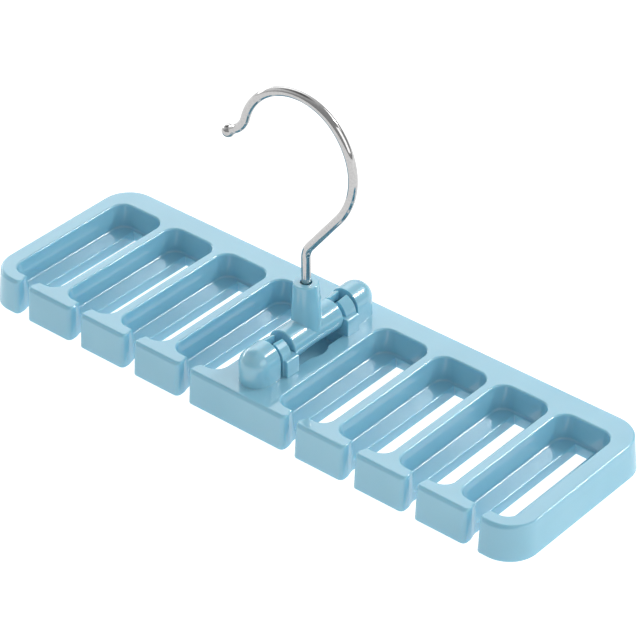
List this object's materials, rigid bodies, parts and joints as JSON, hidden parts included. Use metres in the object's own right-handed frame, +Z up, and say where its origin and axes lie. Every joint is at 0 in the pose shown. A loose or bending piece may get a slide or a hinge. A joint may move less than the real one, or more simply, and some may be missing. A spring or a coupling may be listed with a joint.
{
  "type": "belt hanger",
  "caption": "Comb-shaped belt rack with open-front slots, under a chromed wire hook that turns in a tee tilting in two clips.",
  "frame": {"origin": "bottom centre of the box, in the plane the rack rests on", "axes": "+X along the comb, -Y towards the open slot mouths, +Z up along the hook's stem"},
  "size_m": [0.2308, 0.072, 0.1098],
  "materials": {
    "blue_plastic": "pale blue moulded plastic, glossy",
    "chromed_wire": "bright chrome plate on bent steel wire",
    "plain_steel": "plain stamped steel"
  },
  "bodies": {
    "rack": {"comb_rack": "blue_plastic"},
    "tee": {"swivel_tee": "blue_plastic"},
    "hook": {"wire_hook": "chromed_wire", "stem_washer": "plain_steel"}
  },
  "joints": [
    {"name": "tee_tilt", "type": "hinge", "parent": "rack", "child": "tee", "pos_m": [0, 0.0007, 0.0192], "axis": [0, 1, 0], "range_deg": [-65, 65]},
    {"name": "hook_swivel", "type": "hinge", "parent": "tee", "child": "hook", "pos_m": [0, 0.0007, 0.0384], "axis": [0, 0, 1], "continuous": true}
  ]
}
